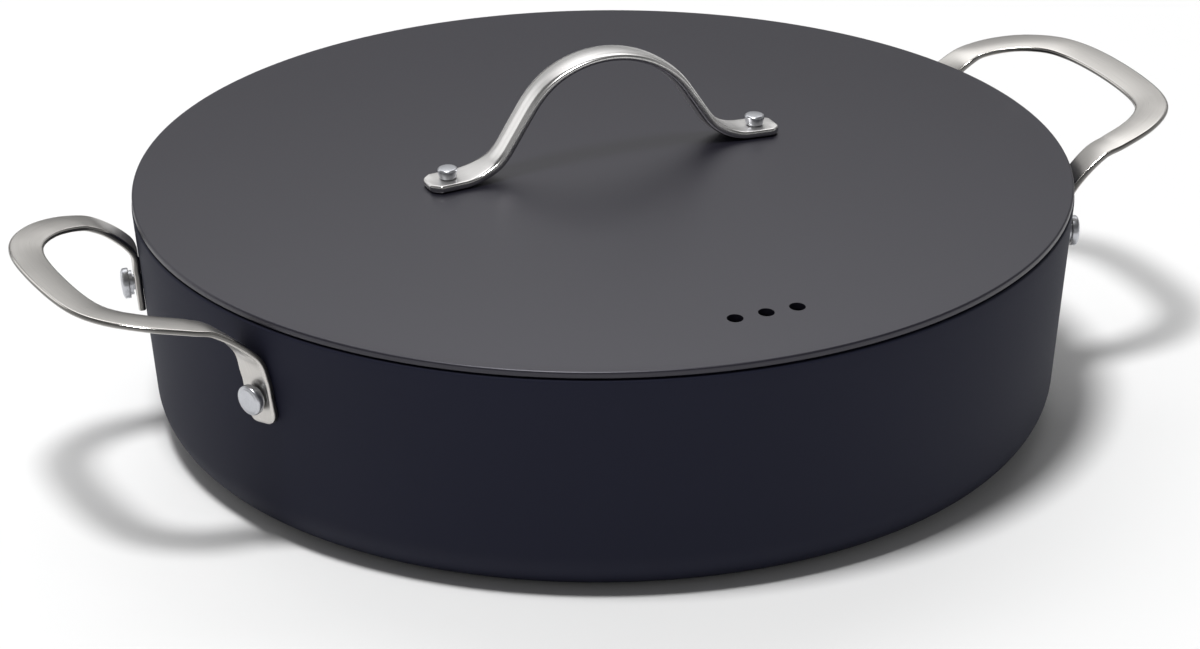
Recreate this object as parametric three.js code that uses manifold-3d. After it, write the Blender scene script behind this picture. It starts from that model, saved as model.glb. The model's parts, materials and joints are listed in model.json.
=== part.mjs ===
import * as THREE from 'three';
import { mergeVertices } from 'three/addons/utils/BufferGeometryUtils.js';
import Module from 'manifold-3d';

// A shallow saute pan with two riveted loop handles and a lid with a riveted strap handle.
// Millimetres, +Z up. The origin is on the table under the pan's centre, the loop handles lie along X.

const wasm = await Module();
wasm.setup();

// Pan body
const rimRadius = 153.2;
const panHeight = 77.5;
const wallLean = THREE.MathUtils.degToRad(5.7);
const wallThickness = 3;
const floorThickness = 5;
const baseCornerRadius = 17;
const innerCornerRadius = 14;
const rimRounding = 0.9;
const baseRecessDepth = 0.6;
const restingRingWidth = 16;
const recessSlopeWidth = 2;

// Lid
const lidEdgeInset = 0.2;
const lidSeatGap = 0.4;
const lidEdgeThickness = 2.4;
const lidEdgeRounding = 0.8;
const lidSkin = 2.2;
const lidRise = 8.1;
const lidTurn = THREE.MathUtils.degToRad(-2.4);
const locatingRingDepth = 6;
const locatingRingThickness = 2.2;
const locatingRingClearance = 1;
const ventCount = 3;
const ventDiameter = 5.2;
const ventPitch = 10.6;
const ventSetback = 27.6;

// Loop handles: a flat strap that rises off the wall, bends outwards and closes in a flat loop
const handleWidth = 11.2;
const footWidth = 12.4;
const handleThickness = 2.4;
const handleEdgeRounding = 0.8;
const footTipLength = 9.4;
const footTipRounding = 4.2;
const bendStartDrop = 10.2;
const footFlat = 6;
const footStandoff = 1;
const footShift = 1.4;
const footSlant = THREE.MathUtils.degToRad(7.3);
const rivetPitch = 99;
const rivetDrop = 24.3;
const loopReach = 39.8;
const loopLift = 4.5;
const bendReach = 4.9;
const bendDrop = 1;
const bendInset = 3;
const shoulderReach = 11.6;
const shoulderDrop = 3.1;
const armSetback = 16.3;
const armDrop = 1.1;
const armTaper = 4.1;
const cornerSetback = 6.6;
const cornerDrop = 0.3;
const cornerInset = 15.4;
const barSetback = 2.1;
const barDrop = 0.2;
const barRun = 9.9;
const loopTilt = THREE.MathUtils.degToRad(6.1);
// The strap turns from the wall to the loop between these two places, counted in route points from a tip
const turnStart = 2.3;
const turnEnd = 5.9;

// Handle rivets
const shankDiameter = 5;
const capOverhang = 1;
const capThickness = 2.3;
const capCrown = 0.5;
const capRounding = 0.8;
const neckShoulder = 1.5;
const neckLength = 1.1;
const innerHeadShoulder = 3;
const innerHeadThickness = 1.4;

// Lid handle: an oval bar with a round crown and straight legs, pressed flat at both ends into feet
const bridgeBarWidth = 8.7;
const bridgeBarThickness = 4.7;
const bridgeBarOval = 0.8;
const bridgeFootWidth = 12.5;
const bridgeFootThickness = 2.4;
const bridgeEdgeRounding = 0.8;
const bridgeRise = 34.8;
const bridgeLegAngle = THREE.MathUtils.degToRad(57);
const bridgeFootBend = 18.3;
const bridgeFootInner = 3.8;
const bridgeFootTip = 7.4;
const bridgeTipClip = 3;
const lidRivetPitch = 108.4;

// Lid rivets
const lidShankDiameter = 4;
const lidHeadShoulder = 0.8;
const lidHeadFlare = 0.5;
const lidHeadHeight = 3.2;
const lidHeadRounding = 0.8;
const lidInnerHeadShoulder = 2;
const lidInnerHeadThickness = 1.2;

// Clearances shared by every pair of pieces that seat on or pass through each other
const seatGap = 0.3;
const holeClearance = 0.3;

// Fineness of the facets
const bodySegments = 80;
const rivetSegments = 18;
const holeSegments = 20;
const routeSteps = 4;
const tipMarks = [0, 0.06, 0.2, 0.4];
const cornerSteps = 4;
const roundingSteps = 2;
const strapCornerPoints = 3;
const barCornerPoints = 4;
const footPoints = 3;
const footBendSteps = 6;
const crownSteps = 7;
const domeSteps = 7;
const skinSteps = 4;
const weldDistance = 1e-4;

const anodised = new THREE.MeshStandardMaterial({ color: 0x2b2b36, roughness: 0.55, metalness: 0.4 });
const lidGrey = new THREE.MeshStandardMaterial({ color: 0x4b4b52, roughness: 0.5, metalness: 0.4 });
const steel = new THREE.MeshStandardMaterial({ color: 0xc6c3bd, roughness: 0.32, metalness: 1 });
const rivetMetal = new THREE.MeshStandardMaterial({ color: 0xcdcdd2, roughness: 0.28, metalness: 1 });

// Points of a circular arc, both ends included
function arcPoints(x, y, radius, from, to, steps) {
  const points = [];
  for (let i = 0; i <= steps; i++) {
    const angle = from + ((to - from) * i) / steps;
    points.push(new THREE.Vector2(x + radius * Math.cos(angle), y + radius * Math.sin(angle)));
  }
  return points;
}

// A closed triangle mesh as a solid: corners welded, empty triangles dropped
function toSolid(geometry) {
  geometry.deleteAttribute('normal');
  geometry.deleteAttribute('uv');
  const welded = mergeVertices(geometry, weldDistance);
  const index = welded.index.array;
  const kept = [];
  for (let i = 0; i < index.length; i += 3) {
    const [a, b, c] = [index[i], index[i + 1], index[i + 2]];
    if (a !== b && b !== c && c !== a) kept.push(a, b, c);
  }
  const vertProperties = new Float32Array(welded.attributes.position.array);
  return new wasm.Manifold(new wasm.Mesh({ numProp: 3, vertProperties, triVerts: new Uint32Array(kept) }));
}

// A profile of radius and height turned about Z, listed outwards, up and back to the axis
function revolve(profile, segments) {
  const geometry = new THREE.LatheGeometry(profile, segments);
  geometry.rotateX(Math.PI / 2);
  return toSolid(geometry);
}

// A round cutter along the Z axis of a placement
function drill(placement, diameter, from, to) {
  const geometry = new THREE.CylinderGeometry(diameter / 2, diameter / 2, to - from, holeSegments);
  geometry.rotateX(Math.PI / 2);
  geometry.translate(0, 0, (from + to) / 2);
  geometry.applyMatrix4(placement);
  return toSolid(geometry);
}

// A strap with a rounded rectangular section at each station, part oval where asked, capped at both ends
function loftStrap(stations, rounding, cornerPoints) {
  const positions = [];
  for (const { centre, across, face, width, thickness, oval = 0 } of stations) {
    const roundX = THREE.MathUtils.lerp(rounding, width / 2, oval);
    const roundY = THREE.MathUtils.lerp(rounding, thickness / 2, oval);
    for (let corner = 0; corner < 4; corner++) {
      const sideways = corner === 0 || corner === 3 ? 1 : -1;
      const upwards = corner < 2 ? 1 : -1;
      for (let step = 0; step < cornerPoints; step++) {
        const angle = ((corner + step / (cornerPoints - 1)) * Math.PI) / 2;
        const x = sideways * (width / 2 - roundX) + roundX * Math.cos(angle);
        const y = upwards * (thickness / 2 - roundY) + roundY * Math.sin(angle);
        const point = centre.clone().addScaledVector(across, x).addScaledVector(face, y);
        positions.push(point.x, point.y, point.z);
      }
    }
  }
  const ring = 4 * cornerPoints;
  const last = (stations.length - 1) * ring;
  const index = [];
  for (let start = 0; start < last; start += ring) {
    for (let k = 0; k < ring; k++) {
      const next = (k + 1) % ring;
      index.push(start + k, start + next, start + ring + next);
      index.push(start + k, start + ring + next, start + ring + k);
    }
  }
  for (let k = 1; k < ring - 1; k++) {
    index.push(0, k + 1, k);
    index.push(last, last + k, last + k + 1);
  }
  const geometry = new THREE.BufferGeometry();
  geometry.setAttribute('position', new THREE.Float32BufferAttribute(positions, 3));
  geometry.setIndex(index);
  return toSolid(geometry);
}

function addPiece(parent, name, solid, material) {
  const { vertProperties, triVerts } = solid.getMesh();
  const geometry = new THREE.BufferGeometry();
  geometry.setAttribute('position', new THREE.BufferAttribute(new Float32Array(vertProperties), 3));
  geometry.setIndex(new THREE.BufferAttribute(new Uint32Array(triVerts), 1));
  geometry.computeVertexNormals();
  const mesh = new THREE.Mesh(geometry, material);
  mesh.name = name;
  parent.add(mesh);
}

// Radius at a height, a given depth inside the leaning outer face of the pan's wall
function wallRadius(height, depth) {
  return rimRadius - depth / Math.cos(wallLean) - (panHeight - height) * Math.tan(wallLean);
}

// Where a foot is riveted, in the handle's own frame: X along the wall, Y up the wall, Z out of it
const rivetHeight = panHeight - rivetDrop;
const footRadius = wallRadius(rivetHeight, 0);
const footAngle = Math.asin(rivetPitch / 2 / footRadius);

function footPlacement(side) {
  const angle = side * footAngle;
  const level = new THREE.Vector3(Math.cos(angle), Math.sin(angle), 0);
  const up = new THREE.Vector3(0, 0, 1);
  const outOfWall = level.clone().multiplyScalar(Math.cos(wallLean)).addScaledVector(up, -Math.sin(wallLean));
  const upWall = level.clone().multiplyScalar(Math.sin(wallLean)).addScaledVector(up, Math.cos(wallLean));
  const alongWall = new THREE.Vector3(-Math.sin(angle), Math.cos(angle), 0);
  const placement = new THREE.Matrix4().makeBasis(alongWall, upWall, outOfWall);
  return placement.setPosition(footRadius * level.x, footRadius * level.y, rivetHeight);
}

function makePanBody() {
  const outerX = wallRadius(baseCornerRadius, baseCornerRadius);
  const innerZ = floorThickness + innerCornerRadius;
  const innerX = wallRadius(innerZ, wallThickness + innerCornerRadius);
  const rimZ = panHeight - rimRounding;
  const recessRadius = outerX - restingRingWidth;
  const profile = [
    new THREE.Vector2(0, baseRecessDepth),
    new THREE.Vector2(recessRadius - recessSlopeWidth, baseRecessDepth),
    new THREE.Vector2(recessRadius, 0),
    ...arcPoints(outerX, baseCornerRadius, baseCornerRadius, -Math.PI / 2, -wallLean, cornerSteps),
    ...arcPoints(wallRadius(rimZ, rimRounding), rimZ, rimRounding, -wallLean, Math.PI / 2, roundingSteps),
    ...arcPoints(
      wallRadius(rimZ, wallThickness - rimRounding),
      rimZ,
      rimRounding,
      Math.PI / 2,
      Math.PI - wallLean,
      roundingSteps,
    ),
    ...arcPoints(innerX, innerZ, innerCornerRadius, -wallLean, -Math.PI / 2, cornerSteps),
    new THREE.Vector2(0, floorThickness),
  ];
  let body = revolve(profile, bodySegments);
  for (const turn of [0, Math.PI]) {
    for (const side of [-1, 1]) {
      const placement = new THREE.Matrix4().makeRotationZ(turn).multiply(footPlacement(side));
      const hole = drill(placement, shankDiameter + 2 * holeClearance, -2 * wallThickness, wallThickness);
      body = body.subtract(hole);
    }
  }
  return body;
}

// Stations of one loop handle, from the tip of one foot round the loop to the tip of the other
function loopHandleStations() {
  const lift = (drop) => panHeight + loopLift - drop;
  const half = (side) => {
    const foot = footPlacement(side);
    const onFoot = (along, standoff, shift) => {
      const sideways = -side * (along * Math.sin(footSlant) + shift);
      const upwards = along * Math.cos(footSlant);
      const outwards = seatGap + handleThickness / 2 + standoff;
      return new THREE.Vector3(sideways, upwards, outwards).applyMatrix4(foot);
    };
    const onLoop = (reach, inset, height) =>
      new THREE.Vector3(rimRadius + reach, side * (rivetPitch / 2 - inset), height);
    return [
      onFoot(-footTipLength, 0, 0),
      onFoot(0, 0, 0),
      onFoot(footFlat, 0, 0),
      onFoot(rivetDrop - bendStartDrop, footStandoff, footShift),
      onLoop(bendReach, bendInset, panHeight - bendDrop),
      onLoop(shoulderReach, bendInset, lift(shoulderDrop)),
      onLoop(loopReach - armSetback, bendInset + armTaper, lift(armDrop)),
      onLoop(loopReach - cornerSetback, cornerInset, lift(cornerDrop)),
      onLoop(loopReach - barSetback, cornerInset + barRun, lift(barDrop)),
    ];
  };
  const middle = new THREE.Vector3(rimRadius + loopReach, 0, lift(0));
  const points = [...half(-1), middle, ...half(1).reverse()];
  const route = new THREE.CatmullRomCurve3(points, false, 'centripetal');
  const spans = points.length - 1;
  const marks = [...tipMarks];
  for (let i = routeSteps - 1; i <= (spans - 1) * routeSteps + 1; i++) marks.push(i / routeSteps);
  marks.push(...tipMarks.map((mark) => spans - mark).reverse());

  // The strap lies flat on the wall up to the bend and flat in the loop after it
  const loopFace = new THREE.Vector3(-Math.sin(loopTilt), 0, Math.cos(loopTilt));
  const centres = marks.map((mark) => route.getPoint(mark / spans));
  const tips = [centres[0], centres[centres.length - 1]];
  return marks.map((mark, i) => {
    const centre = centres[i];
    const tangent = route.getTangent(mark / spans);
    const side = mark < spans / 2 ? -1 : 1;
    const along = Math.min(mark, spans - mark);
    const onWall = new THREE.Vector3().setFromMatrixColumn(footPlacement(side), 0).multiplyScalar(-side);
    const inLoop = new THREE.Vector3().crossVectors(loopFace, tangent).normalize();
    const turned = THREE.MathUtils.smoothstep(along, turnStart, turnEnd);
    const across = onWall.lerp(inLoop, turned);
    across.projectOnPlane(tangent).normalize();
    const face = new THREE.Vector3().crossVectors(tangent, across);
    const fromTip = Math.min(...tips.map((tip) => tip.distanceTo(centre)));
    const cut = Math.max(0, footTipRounding - fromTip);
    const narrowing = footTipRounding - Math.sqrt(footTipRounding ** 2 - cut ** 2);
    const width = THREE.MathUtils.lerp(footWidth, handleWidth, turned) - 2 * narrowing;
    return { centre, across, face, width, thickness: handleThickness };
  });
}

function makeLoopHandle() {
  let handle = loftStrap(loopHandleStations(), handleEdgeRounding, strapCornerPoints);
  for (const side of [-1, 1]) {
    const diameter = shankDiameter + 2 * holeClearance;
    handle = handle.subtract(drill(footPlacement(side), diameter, -handleThickness, 3 * handleThickness));
  }
  return handle;
}

// A rivet along Z, with Z zero on the outer face of the wall
function makeHandleRivet() {
  const wallInside = -wallThickness - seatGap;
  const footOutside = 2 * seatGap + handleThickness;
  const capBase = footOutside + neckLength;
  const capEdge = capBase + capThickness;
  const shank = shankDiameter / 2;
  const neck = shank + neckShoulder;
  const cap = neck + capOverhang;
  const innerHead = shank + innerHeadShoulder;
  const profile = [
    new THREE.Vector2(0, wallInside - innerHeadThickness),
    new THREE.Vector2(innerHead - innerHeadThickness, wallInside - innerHeadThickness),
    new THREE.Vector2(innerHead, wallInside - innerHeadThickness / 2),
    new THREE.Vector2(innerHead, wallInside),
    new THREE.Vector2(shank, wallInside),
    new THREE.Vector2(shank, footOutside),
    new THREE.Vector2(neck, footOutside),
    new THREE.Vector2(neck, capBase),
    new THREE.Vector2(cap, capBase),
    ...arcPoints(cap - capRounding, capEdge - capRounding, capRounding, 0, Math.PI / 2, roundingSteps),
    new THREE.Vector2(0, capEdge + capCrown),
  ];
  return revolve(profile, rivetSegments);
}

// The lid's top is part of a sphere, whose centre lies on the axis far below
const lidRadius = rimRadius - lidEdgeInset;
const lidEdgeBottom = panHeight + lidSeatGap;
const lidEdgeTop = lidEdgeBottom + lidEdgeThickness;
const domeRadius = lidRadius - lidEdgeRounding;
const sphereRadius = (domeRadius ** 2 + lidRise ** 2) / (2 * lidRise);
const sphereHeight = lidEdgeTop + lidRise - sphereRadius;

// A point on the lid's top at a distance from the axis, with Z out of the surface
function lidPlacement(distance) {
  const tilt = Math.asin(distance / sphereRadius);
  const height = sphereHeight + sphereRadius * Math.cos(tilt);
  return new THREE.Matrix4().makeRotationY(tilt).setPosition(distance, 0, height);
}

function makeLidShell() {
  const ringBottom = panHeight - locatingRingDepth;
  const ringOuter = wallRadius(ringBottom, wallThickness) - locatingRingClearance;
  const ringInner = ringOuter - locatingRingThickness;
  const innerSphere = sphereRadius - lidSkin;
  const edgeX = lidRadius - lidEdgeRounding;
  const domeEdge = Math.acos(domeRadius / sphereRadius);
  const skinEdge = Math.acos(ringInner / innerSphere);
  const profile = [
    ...arcPoints(0, sphereHeight, innerSphere, Math.PI / 2, skinEdge, skinSteps),
    new THREE.Vector2(ringInner, ringBottom),
    new THREE.Vector2(ringOuter, ringBottom),
    new THREE.Vector2(ringOuter, lidEdgeBottom),
    ...arcPoints(edgeX, lidEdgeBottom + lidEdgeRounding, lidEdgeRounding, -Math.PI / 2, 0, roundingSteps),
    ...arcPoints(edgeX, lidEdgeTop - lidEdgeRounding, lidEdgeRounding, 0, Math.PI / 2, roundingSteps),
    ...arcPoints(0, sphereHeight, sphereRadius, domeEdge, Math.PI / 2, domeSteps).slice(1),
  ];
  let lid = revolve(profile, bodySegments);
  for (const turn of [0, Math.PI]) {
    const placement = new THREE.Matrix4().makeRotationZ(turn).multiply(lidPlacement(lidRivetPitch / 2));
    lid = lid.subtract(drill(placement, lidShankDiameter + 2 * holeClearance, -2 * lidSkin, lidSkin));
  }
  for (let i = 0; i < ventCount; i++) {
    const alongRow = (i - (ventCount - 1) / 2) * ventPitch;
    const vent = new THREE.Matrix4().makeTranslation(alongRow, ventSetback - lidRadius, 0);
    lid = lid.subtract(drill(vent, ventDiameter, lidEdgeBottom - lidSkin, lidEdgeTop + lidRise + lidSkin));
  }
  return lid;
}

// The bridge's centre line in its own upright plane: foot, bend, straight leg and round crown, both ways
function bridgeRoute() {
  const seat = lidPlacement(lidRivetPitch / 2);
  const slope = Math.asin(lidRivetPitch / 2 / sphereRadius);
  const onFoot = (along) => {
    const point = new THREE.Vector3(along, 0, seatGap + bridgeFootThickness / 2).applyMatrix4(seat);
    return new THREE.Vector2(point.x, point.z);
  };
  const [sin, cos] = [Math.sin(bridgeLegAngle), Math.cos(bridgeLegAngle)];
  const footEnd = onFoot(-bridgeFootInner);
  const apex = onFoot(0).y + bridgeRise;
  const runLeft = footEnd.x - bridgeFootBend * (sin - Math.sin(slope));
  const riseLeft = apex - footEnd.y - bridgeFootBend * (Math.cos(slope) - cos);
  const crownRadius = (runLeft * sin - riseLeft * cos) / (1 - cos);
  const bendX = footEnd.x + bridgeFootBend * Math.sin(slope);
  const bendY = footEnd.y + bridgeFootBend * Math.cos(slope);
  const up = Math.PI / 2;
  const outer = [
    onFoot(bridgeFootTip),
    onFoot(bridgeFootTip - bridgeTipClip),
    onFoot(0),
    ...arcPoints(bendX, bendY, bridgeFootBend, -up - slope, -up - bridgeLegAngle, footBendSteps),
    ...arcPoints(0, apex - crownRadius, crownRadius, up - bridgeLegAngle, up, crownSteps),
  ];
  const inner = outer.slice(0, -1).reverse();
  return [...outer, ...inner.map((point) => new THREE.Vector2(-point.x, point.y))];
}

function makeLidHandle() {
  const route = bridgeRoute();
  const last = route.length - 1;
  const across = new THREE.Vector3(0, 1, 0);
  const stations = route.map((point, i) => {
    const before = route[Math.max(i - 1, 0)];
    const after = route[Math.min(i + 1, last)];
    const tangent = new THREE.Vector3(after.x - before.x, 0, after.y - before.y).normalize();
    const face = new THREE.Vector3().crossVectors(tangent, across);
    const clipped = i === 0 || i === last ? bridgeTipClip : 0;
    // Flat feet turn into the oval bar along the bends above them
    const barred = THREE.MathUtils.smoothstep(Math.min(i, last - i), footPoints, footPoints + footBendSteps);
    return {
      centre: new THREE.Vector3(point.x, 0, point.y),
      across,
      face,
      width: THREE.MathUtils.lerp(bridgeFootWidth, bridgeBarWidth, barred) - 2 * clipped,
      thickness: THREE.MathUtils.lerp(bridgeFootThickness, bridgeBarThickness, barred),
      oval: bridgeBarOval * barred,
    };
  });
  let handle = loftStrap(stations, bridgeEdgeRounding, barCornerPoints);
  for (const turn of [0, Math.PI]) {
    const placement = new THREE.Matrix4().makeRotationZ(turn).multiply(lidPlacement(lidRivetPitch / 2));
    const diameter = lidShankDiameter + 2 * holeClearance;
    handle = handle.subtract(drill(placement, diameter, -bridgeFootThickness, 3 * bridgeFootThickness));
  }
  return handle;
}

// A lid rivet along Z, with Z zero on the lid's top
function makeLidRivet() {
  const skinInside = -lidSkin - seatGap;
  const footTop = 2 * seatGap + bridgeFootThickness;
  const headTop = footTop + lidHeadHeight;
  const shank = lidShankDiameter / 2;
  const headBase = shank + lidHeadShoulder;
  const head = headBase + lidHeadFlare;
  const innerHead = shank + lidInnerHeadShoulder;
  const [edgeX, edgeZ] = [head - lidHeadRounding, headTop - lidHeadRounding];
  const profile = [
    new THREE.Vector2(0, skinInside - lidInnerHeadThickness),
    new THREE.Vector2(innerHead, skinInside - lidInnerHeadThickness),
    new THREE.Vector2(innerHead, skinInside),
    new THREE.Vector2(shank, skinInside),
    new THREE.Vector2(shank, footTop),
    new THREE.Vector2(headBase, footTop),
    ...arcPoints(edgeX, edgeZ, lidHeadRounding, 0, Math.PI / 2, roundingSteps),
    new THREE.Vector2(0, headTop),
  ];
  return revolve(profile, rivetSegments);
}

const pan = new THREE.Group();
addPiece(pan, 'pan_body', makePanBody(), anodised);

const loopHandle = makeLoopHandle();
const handleRivet = makeHandleRivet();
for (const [sideName, turn, ends] of [
  ['right', 0, { front: -1, back: 1 }],
  ['left', Math.PI, { front: 1, back: -1 }],
]) {
  const mount = new THREE.Group();
  mount.rotation.z = turn;
  addPiece(mount, `handle_${sideName}`, loopHandle, steel);
  for (const [endName, side] of Object.entries(ends)) {
    const seat = new THREE.Group();
    seat.applyMatrix4(footPlacement(side));
    addPiece(seat, `rivet_${sideName}_${endName}`, handleRivet, rivetMetal);
    mount.add(seat);
  }
  pan.add(mount);
}

const lid = new THREE.Group();
lid.rotation.z = lidTurn;
addPiece(lid, 'lid_shell', makeLidShell(), lidGrey);
addPiece(lid, 'lid_handle', makeLidHandle(), steel);
const lidRivet = makeLidRivet();
for (const [sideName, turn] of [['right', 0], ['left', Math.PI]]) {
  const seat = new THREE.Group();
  seat.applyMatrix4(new THREE.Matrix4().makeRotationZ(turn).multiply(lidPlacement(lidRivetPitch / 2)));
  addPiece(seat, `lid_rivet_${sideName}`, lidRivet, rivetMetal);
  lid.add(seat);
}

const assembly = new THREE.Group();
assembly.name = 'saute_pan';
assembly.add(pan, lid);

export default assembly;
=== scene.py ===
import json
import math

import bpy
import numpy as np
from mathutils import Matrix, Vector

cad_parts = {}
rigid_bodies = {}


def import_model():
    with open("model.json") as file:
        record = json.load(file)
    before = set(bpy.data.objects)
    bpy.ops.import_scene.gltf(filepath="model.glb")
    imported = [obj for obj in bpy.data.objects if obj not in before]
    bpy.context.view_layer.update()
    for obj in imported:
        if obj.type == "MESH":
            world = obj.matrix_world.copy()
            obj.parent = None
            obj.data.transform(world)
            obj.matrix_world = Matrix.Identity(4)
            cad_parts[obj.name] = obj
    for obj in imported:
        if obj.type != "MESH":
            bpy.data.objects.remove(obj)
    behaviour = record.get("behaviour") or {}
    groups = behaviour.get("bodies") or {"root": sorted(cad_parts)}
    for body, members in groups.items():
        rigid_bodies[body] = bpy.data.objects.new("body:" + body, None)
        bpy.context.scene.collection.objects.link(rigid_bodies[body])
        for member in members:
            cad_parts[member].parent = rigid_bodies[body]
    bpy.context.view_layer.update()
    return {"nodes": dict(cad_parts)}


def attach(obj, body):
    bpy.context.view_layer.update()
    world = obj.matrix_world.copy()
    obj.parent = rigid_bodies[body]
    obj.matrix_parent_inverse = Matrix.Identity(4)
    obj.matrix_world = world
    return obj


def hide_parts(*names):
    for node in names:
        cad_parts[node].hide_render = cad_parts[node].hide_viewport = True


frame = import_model()
print("frame loaded with", len(frame["nodes"]), "nodes")

scene = bpy.context.scene
scene.view_settings.view_transform = "Standard"
mm = 0.001
quarter = math.pi / 2


def link(name, data):
    made = bpy.data.objects.new(name, data)
    scene.collection.objects.link(made)
    return made


# camera, from the fit of the rim, base and handles to the picture
cameraView = {
    "aim": (-0.00121, 0.00059, 0.02833),
    "distance": 2.0512,
    "azimuth": -25.8825,
    "elevation": 23.903,
    "roll": -0.536,
    "lens": 187.26,
    "sensor": 36,
    "clip": (0.05, 60),
}


def placeCamera(view):
    turn, rise, roll = (math.radians(view[k]) for k in ("azimuth", "elevation", "roll"))
    level = (math.sin(turn) * math.cos(rise), -math.cos(turn) * math.cos(rise))
    back = Vector((*level, math.sin(rise)))
    sideways = Vector((0, 0, 1)).cross(back).normalized()
    upright = back.cross(sideways)
    right = sideways * math.cos(roll) + upright * math.sin(roll)
    up = back.cross(right)
    data = bpy.data.cameras.new("photoCamera")
    data.lens = view["lens"]
    data.sensor_width = view["sensor"]
    data.clip_start, data.clip_end = view["clip"]
    camera = link("photoCamera", data)
    place = Vector(view["aim"]) + back * view["distance"]
    heading = Matrix((right, up, back)).transposed().to_4x4()
    camera.matrix_world = Matrix.Translation(place) @ heading
    scene.camera = camera


placeCamera(cameraView)
print("camera placed")


# node helpers: values are sockets to link from or plain numbers to set
def addNode(tree, kind, values=None, **settings):
    made = tree.nodes.new(kind)
    for key, value in settings.items():
        setattr(made, key, value)
    for key, value in (values or {}).items():
        if isinstance(value, bpy.types.NodeSocket):
            tree.links.new(value, made.inputs[key])
        else:
            made.inputs[key].default_value = value
    return made


def sums(tree, operation, first, second=0.0):
    return addNode(tree, "ShaderNodeMath", {0: first, 1: second}, operation=operation).outputs[0]


def spread(tree, value, low, high):
    ends = {"Value": value, "To Min": low, "To Max": high}
    return addNode(tree, "ShaderNodeMapRange", ends).outputs["Result"]


def mixed(tree, first, second, share):
    kept = sums(tree, "MULTIPLY", first, share)
    return sums(tree, "ADD", kept, sums(tree, "MULTIPLY", second, 1 - share))


noiseKinds = {  # detail and roughness
    "blasted": (4.0, 0.62),
    "tumbled": (4.0, 0.6),
    "streak": (3.0, 0.6),
    "cloud": (2.0, 0.55),
}


def noise(tree, vector, scale, kind):
    detail, roughness = noiseKinds[kind]
    settings = {"Vector": vector, "Scale": scale, "Detail": detail, "Roughness": roughness}
    return addNode(tree, "ShaderNodeTexNoise", settings).outputs[0]


def blendValue(tree, factor, first, second):
    values = {0: factor, 2: first, 3: second}
    return addNode(tree, "ShaderNodeMix", values, data_type="FLOAT").outputs[0]


def blendColour(tree, factor, first, second):
    made = addNode(tree, "ShaderNodeMix", {0: factor}, data_type="RGBA")
    for key, value in ((6, first), (7, second)):
        if isinstance(value, bpy.types.NodeSocket):
            tree.links.new(value, made.inputs[key])
        else:
            made.inputs[key].default_value = (*value, 1)
    return made.outputs[2]


def newMaterial(name):
    material = bpy.data.materials.new(name)
    material.use_nodes = True
    tree = material.node_tree
    shader = tree.nodes["Principled BSDF"]
    return material, tree, shader


def connect(tree, shader, colour, roughness, height, finish):
    settings = {"Height": height, "Strength": finish["bump"], "Distance": finish["bumpDepth"]}
    normal = addNode(tree, "ShaderNodeBump", settings).outputs[0]
    for name, socket in (("Base Color", colour), ("Roughness", roughness), ("Normal", normal)):
        tree.links.new(socket, shader.inputs[name])


# satin hard-anodised skin: fine blasted grain, slow tone drift, tiny bump
panFinish = {
    "deep": (0.0022, 0.0023, 0.0080),
    "pale": (0.0058, 0.0060, 0.0170),
    "toneRange": (-0.25, 1.25),
    "grain": 1500.0,
    "grainShare": 0.72,
    "drift": 9.0,
    "rough": (0.66, 0.78),
    "specular": 0.36,
    "tint": (0.72, 0.76, 1.0),
    "bump": 0.10,
    "bumpDepth": 0.12 * mm,
}
lidFinish = {
    **panFinish,
    "deep": (0.0039, 0.0036, 0.0067),
    "pale": (0.0107, 0.0100, 0.0185),
    "grain": 1300.0,
    "drift": 8.0,
    "rough": (0.36, 0.44),
    "specular": 0.63,
    "tint": (0.93, 0.91, 1.0),
    "bump": 0.12,
}


def anodised(name, finish):
    material, tree, shader = newMaterial(name)
    place = addNode(tree, "ShaderNodeTexCoord").outputs["Object"]
    grain = noise(tree, place, finish["grain"], "blasted")
    drift = noise(tree, place, finish["drift"], "cloud")
    tone = mixed(tree, grain, drift, finish["grainShare"])
    shade = spread(tree, tone, *finish["toneRange"])
    colour = blendColour(tree, shade, finish["deep"], finish["pale"])
    connect(tree, shader, colour, spread(tree, grain, *finish["rough"]), grain, finish)
    shader.inputs["Specular IOR Level"].default_value = finish["specular"]
    shader.inputs["Specular Tint"].default_value = (*finish["tint"], 1)
    return material


# brushed steel: streaks run along the strap, rounded edges are polished, the sides are rougher and
# get painted shade, a darker colour standing in for the dark reflection they show
strapFinish = {
    "dark": (0.485, 0.468, 0.447),
    "light": (0.645, 0.627, 0.602),
    "toneRange": (-0.3, 1.3),
    "along": 55.0,
    "across": 3000.0,
    "streakShare": 0.6,
    "cloud": 45.0,
    "rough": (0.24, 0.36),
    "edgeRough": 0.13,
    # painted shade: the sides are given this share of the dark colour
    "paintedSideShade": 0.42,
    "cutRough": 0.34,
    "bump": 0.05,
    "bumpDepth": 0.05 * mm,
    "anisotropy": 0.55,
}
# painted light: the lid bar is the same steel as the loop handles, given a lighter colour for the
# brighter light it catches; it is also rougher
barFinishPaintedLight = {
    **strapFinish,
    "dark": (0.64, 0.63, 0.62),
    "light": (0.82, 0.81, 0.80),
    "rough": (0.32, 0.44),
}


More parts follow.
